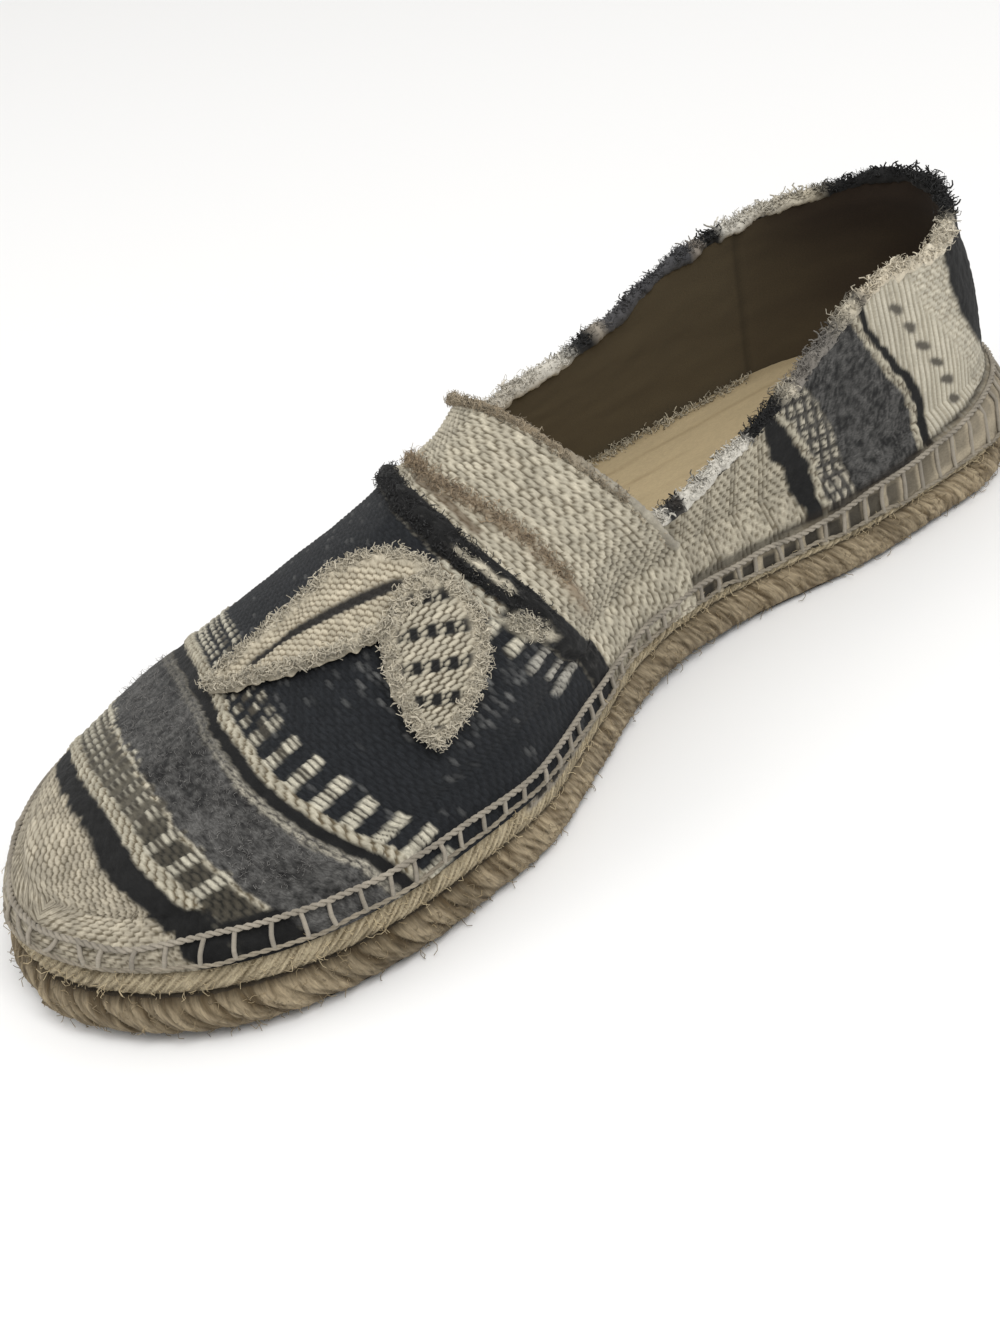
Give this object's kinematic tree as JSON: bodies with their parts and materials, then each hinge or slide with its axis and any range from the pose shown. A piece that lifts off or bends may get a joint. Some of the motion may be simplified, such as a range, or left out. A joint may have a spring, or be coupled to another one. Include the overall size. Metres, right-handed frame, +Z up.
{
  "type": "espadrille",
  "caption": "Slip-on espadrille for the right foot: hollow raw-edged woven cloth upper stitched over the rim of a braided jute sole with a thin rubber sheet beneath.",
  "frame": {"origin": "on the floor under the middle of the shoe's box", "axes": "+X from heel to toe, +Y to the big toe side, +Z up"},
  "size_m": [0.2576, 0.0968, 0.064],
  "materials": {
    "rubber": "matte, scuffed",
    "jute": "coarse braided fibre",
    "insole_cloth": "plain woven",
    "woven_cloth": "thick striped weave with raw edges",
    "applique_cloth": "frayed weave"
  },
  "bodies": {
    "root": {"outsole": "rubber", "jute_sole": "jute", "insole": "insole_cloth", "upper": "woven_cloth", "applique": "applique_cloth"}
  },
  "joints": []
}
